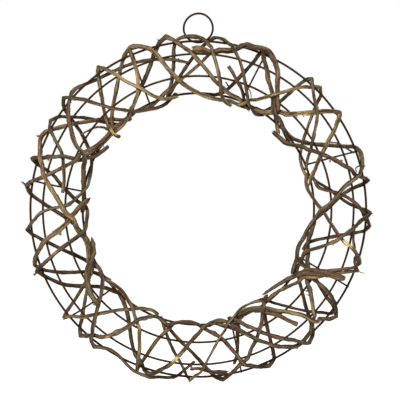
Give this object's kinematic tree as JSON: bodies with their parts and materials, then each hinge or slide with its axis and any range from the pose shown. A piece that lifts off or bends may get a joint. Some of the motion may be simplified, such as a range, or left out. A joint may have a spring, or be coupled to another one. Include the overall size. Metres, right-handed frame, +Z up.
{
  "type": "wreath frame",
  "caption": "Round wreath frame: woody vine stems coiled loosely round a stepped wire ring frame with cross struts, with a small wire loop at the top to hang it by.",
  "frame": {"origin": "where a hook bears: the inside top of the hanging loop, in the plane of the loop's wire", "axes": "+Z up, the wreath stands in the XZ plane, its front with the raised rings faces -Y, its flat back faces +Y"},
  "size_m": [0.4105, 0.0558, 0.4379],
  "materials": {
    "wire": "dark brown, matt, a little rusty",
    "bark_tan": "light tan bark, dull and fibrous",
    "bark_olive": "olive-brown bark, dull and fibrous",
    "bark_brown": "mid-brown bark, dull, ridged along its length",
    "bark_rust": "reddish-brown bark, dull",
    "bark_dark": "dark brown bark, dull and flaky",
    "bark_pale": "peeled wood, pale straw colour"
  },
  "bodies": {
    "root": {"hanging_loop": "wire", "ring_outer": "wire", "ring_raised_outer": "wire", "ring_raised_inner": "wire", "ring_inner": "wire", "strut_1": "wire", "strut_2": "wire", "strut_3": "wire", "strut_4": "wire", "strut_5": "wire", "strut_6": "wire", "strut_7": "wire", "stem_01": "bark_tan", "stem_02": "bark_olive", "stem_03": "bark_tan", "stem_04": "bark_dark", "stem_05": "bark_olive", "stem_06": "bark_brown", "stem_07": "bark_tan", "stem_08": "bark_brown", "stem_09": "bark_rust", "stem_10": "bark_tan", "stem_11": "bark_olive", "stem_12": "bark_brown", "stem_13": "bark_rust", "stem_14": "bark_dark", "stem_15": "bark_brown", "stem_16": "bark_tan", "stem_17": "bark_brown", "stem_18": "bark_olive", "stem_19": "bark_dark", "stem_20": "bark_brown", "stem_21": "bark_olive", "stem_22": "bark_brown", "stem_23": "bark_rust", "stem_24": "bark_pale", "stem_25": "bark_brown", "stem_26": "bark_rust", "stem_27": "bark_olive", "stem_28": "bark_tan", "stem_29": "bark_brown", "stem_30": "bark_olive", "stem_31": "bark_tan", "stem_32": "bark_olive", "stem_33": "bark_dark", "stem_34": "bark_tan", "stem_35": "bark_olive", "stem_36": "bark_brown", "stem_37": "bark_tan", "stem_38": "bark_olive", "stem_39": "bark_brown", "stem_40": "bark_dark", "stem_41": "bark_tan", "stem_42": "bark_tan", "stem_43": "bark_pale", "stem_44": "bark_brown", "stem_45": "bark_rust", "tendril_01": "bark_rust", "tendril_02": "bark_dark"}
  },
  "joints": []
}
